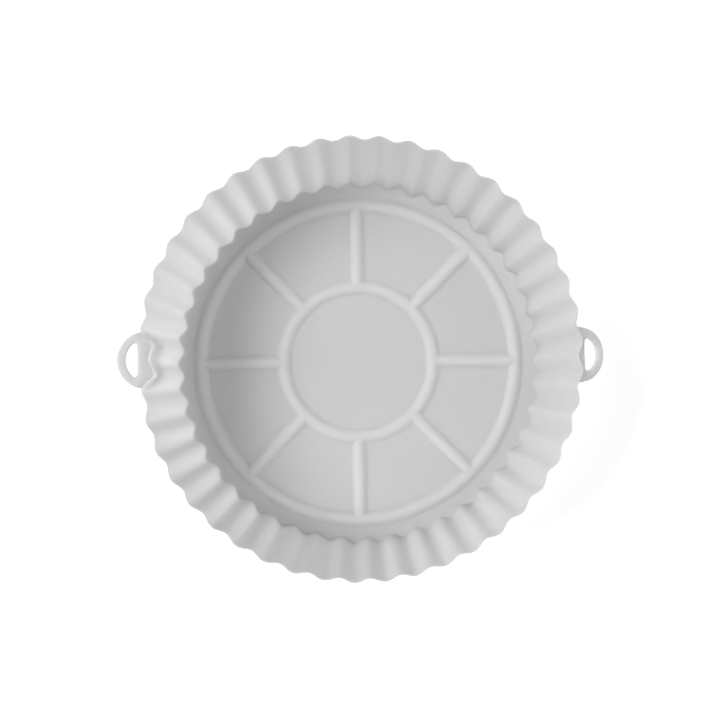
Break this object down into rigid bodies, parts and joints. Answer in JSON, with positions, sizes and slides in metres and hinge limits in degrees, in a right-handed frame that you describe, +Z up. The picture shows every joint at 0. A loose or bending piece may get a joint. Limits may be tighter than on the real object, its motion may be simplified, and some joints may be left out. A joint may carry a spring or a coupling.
{
  "type": "air fryer liner",
  "caption": "Round fluted silicone liner for an air fryer basket, with a ribbed floor, a wall that opens towards the rim and a flat loop handle on each side.",
  "frame": {"origin": "middle of the underside, on the surface that the liner stands on", "axes": "+Z up from the underside to the open rim; the two handles lie on +X and -X"},
  "size_m": [0.222, 0.2038, 0.05],
  "materials": {
    "silicone": "satin"
  },
  "bodies": {
    "root": {"liner": "silicone"}
  },
  "joints": []
}
